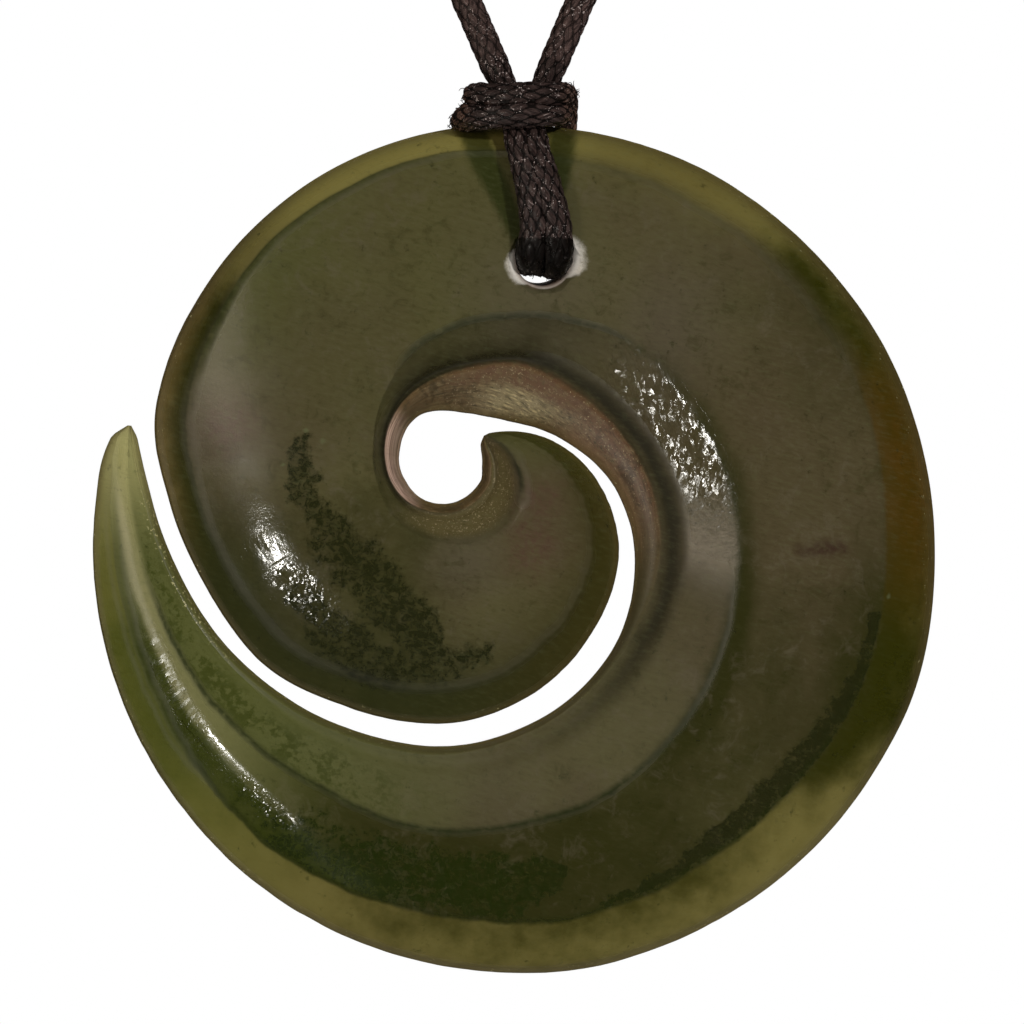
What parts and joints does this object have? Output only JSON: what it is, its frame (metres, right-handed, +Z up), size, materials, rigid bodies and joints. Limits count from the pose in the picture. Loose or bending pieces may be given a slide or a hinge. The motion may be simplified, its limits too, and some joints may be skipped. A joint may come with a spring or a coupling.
{
  "type": "koru pendant on a neck cord",
  "caption": "Disc of carved green stone in the form of a curling frond, with a slot and a drilled hole, hitched to a braided cord that makes one whole loop round the neck.",
  "frame": {"origin": "where the knot in the cord touches the nape of the neck", "axes": "+Z up as worn, -Y towards the front of the stone, +X to the right in a front view"},
  "size_m": [0.1216, 0.11, 0.2368],
  "materials": {
    "stone": "polished nephrite jade, dark olive and translucent where it is thin",
    "cord": "dark brown waxed braided cord with small waxy glints"
  },
  "bodies": {
    "root": {"koru_stone": "stone", "hitch_cord": "cord", "neck_cord": "cord", "nape_knot": "cord"}
  },
  "joints": []
}
